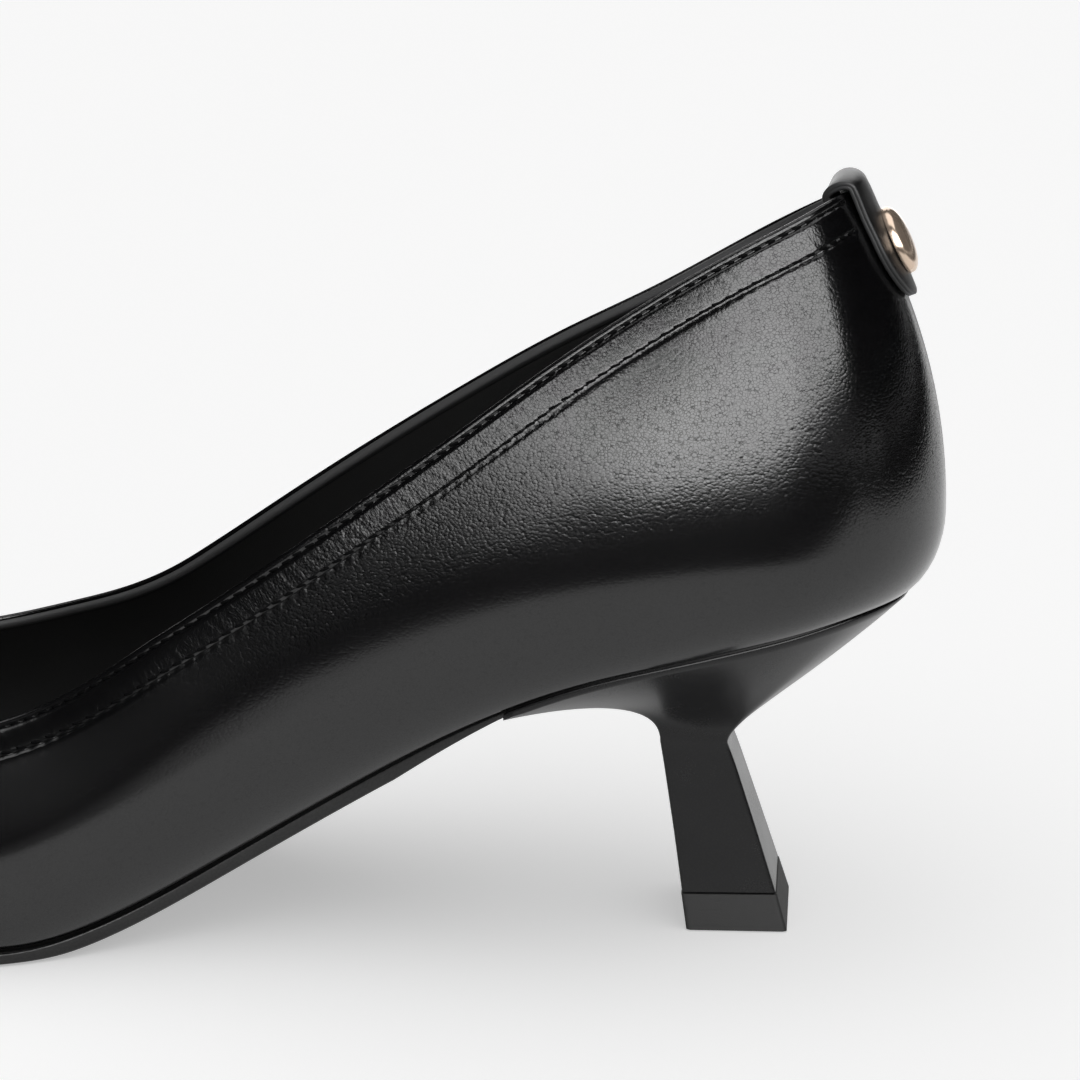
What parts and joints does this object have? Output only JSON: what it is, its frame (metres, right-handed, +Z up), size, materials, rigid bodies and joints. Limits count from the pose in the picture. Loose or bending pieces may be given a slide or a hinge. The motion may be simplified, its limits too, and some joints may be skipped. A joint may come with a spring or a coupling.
{
  "type": "high heel court shoe",
  "caption": "Right court shoe: hollow leather upper with a pointed toe, thin sole, sculpted mid heel with a separate lift, and a back tab with a domed metal stud.",
  "frame": {"origin": "on the floor under the middle of the shoe's bounding box", "axes": "+Z up, toe towards -X, heel towards +X, inner side of the foot towards -Y"},
  "size_m": [0.243, 0.077, 0.1207],
  "materials": {
    "upper_leather": "black fine grain calf with a satin sheen",
    "insole_sock": "smooth black sock leather, matte",
    "sole_leather": "black stained sole leather with a waxed edge",
    "heel_cover": "smooth black leather drawn over a moulded block, satin",
    "lift_rubber": "black hard rubber, matte",
    "tab_leather": "black leather folded double, with painted edges",
    "stud_metal": "pale gold plating, polished"
  },
  "bodies": {
    "root": {"upper": "upper_leather", "insole": "insole_sock", "outsole": "sole_leather", "heel": "heel_cover", "top_lift": "lift_rubber", "heel_tab": "tab_leather", "tab_stud": "stud_metal"}
  },
  "joints": []
}
